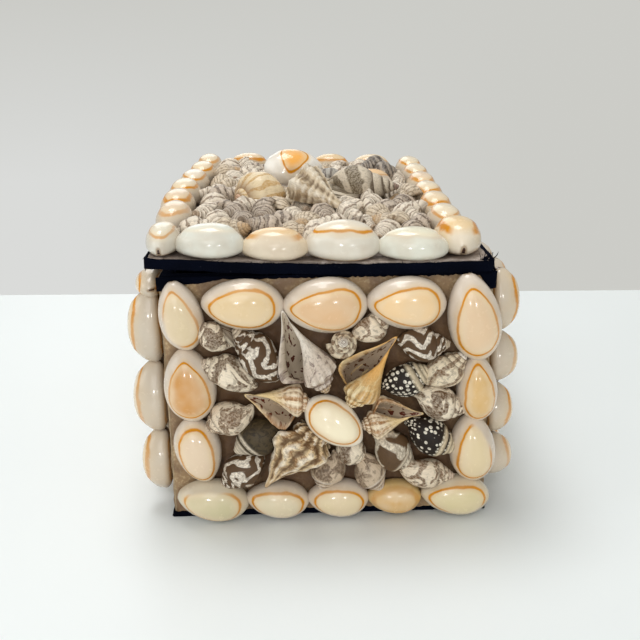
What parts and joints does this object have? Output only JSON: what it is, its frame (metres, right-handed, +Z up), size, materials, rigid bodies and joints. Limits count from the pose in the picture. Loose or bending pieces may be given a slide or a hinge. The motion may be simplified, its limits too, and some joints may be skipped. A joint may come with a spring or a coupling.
{
  "type": "shell box",
  "caption": "Oblong keepsake box of velvet-lined board, covered with glued cowries, whelks and small sea shells, with a cloth-hinged lid.",
  "frame": {"origin": "middle of the underside of the felt under the case", "axes": "+Z up, -Y towards the front end with the shell rosette, +X towards the hinge side, +Y along the box to its back end"},
  "size_m": [0.1166, 0.1755, 0.1035],
  "materials": {
    "board": "rough brown board with dried glue",
    "velvet": "navy velvet",
    "cowrie": "glossy cream shell with a gold ring",
    "whelk": "satin ribbed shell",
    "small_shell": "satin patterned shell in dried glue"
  },
  "bodies": {
    "case": {"back_cowrie_border": "cowrie", "back_shell_field": "small_shell", "base_felt": "velvet", "box_case": "board", "case_lining": "velvet", "front_cowrie_centre": "cowrie", "front_cowrie_left_2": "cowrie", "front_cowrie_left_3": "cowrie", "front_cowrie_low_1": "cowrie", "front_cowrie_low_2": "cowrie", "front_cowrie_low_3": "cowrie", "front_cowrie_low_4": "cowrie", "front_cowrie_low_5": "cowrie", "front_cowrie_right_2": "cowrie", "front_cowrie_right_3": "cowrie", "front_cowrie_top_1": "cowrie", "front_cowrie_top_2": "cowrie", "front_cowrie_top_3": "cowrie", "front_cowrie_top_left": "cowrie", "front_cowrie_top_right": "cowrie", "front_shell_field": "small_shell", "front_whelk_left": "whelk", "front_whelk_lower_left": "whelk", "front_whelk_right": "whelk", "front_whelk_upper_left": "whelk", "front_whelk_upper_right": "whelk", "hinge_cloth_case": "velvet", "left_cowrie_border": "cowrie", "left_shell_field": "small_shell", "right_cowrie_border": "cowrie", "right_shell_field": "small_shell"},
    "lid": {"hinge_cloth_lid": "velvet", "lid_board": "board", "lid_cowrie_corner_left": "cowrie", "lid_cowrie_corner_right": "cowrie", "lid_cowrie_front_1": "cowrie", "lid_cowrie_front_2": "cowrie", "lid_cowrie_front_3": "cowrie", "lid_cowrie_front_4": "cowrie", "lid_cowries_back": "cowrie", "lid_cowries_left": "cowrie", "lid_cowries_right": "cowrie", "lid_lining": "velvet", "lid_shell_field": "small_shell", "pile_back_left_cowrie": "cowrie", "pile_back_right_cowrie": "cowrie", "pile_banded_cone": "whelk", "pile_grey_turban": "small_shell", "pile_knobbed_whelk": "whelk", "pile_moon_snail": "whelk", "pile_ring_cowrie": "cowrie", "pile_white_cowrie": "cowrie"}
  },
  "joints": [
    {"name": "lid_hinge", "type": "hinge", "parent": "case", "child": "lid", "pos_m": [0.048, 0, 0.07765], "axis": [0, 1, 0], "range_deg": [0, 95]}
  ]
}
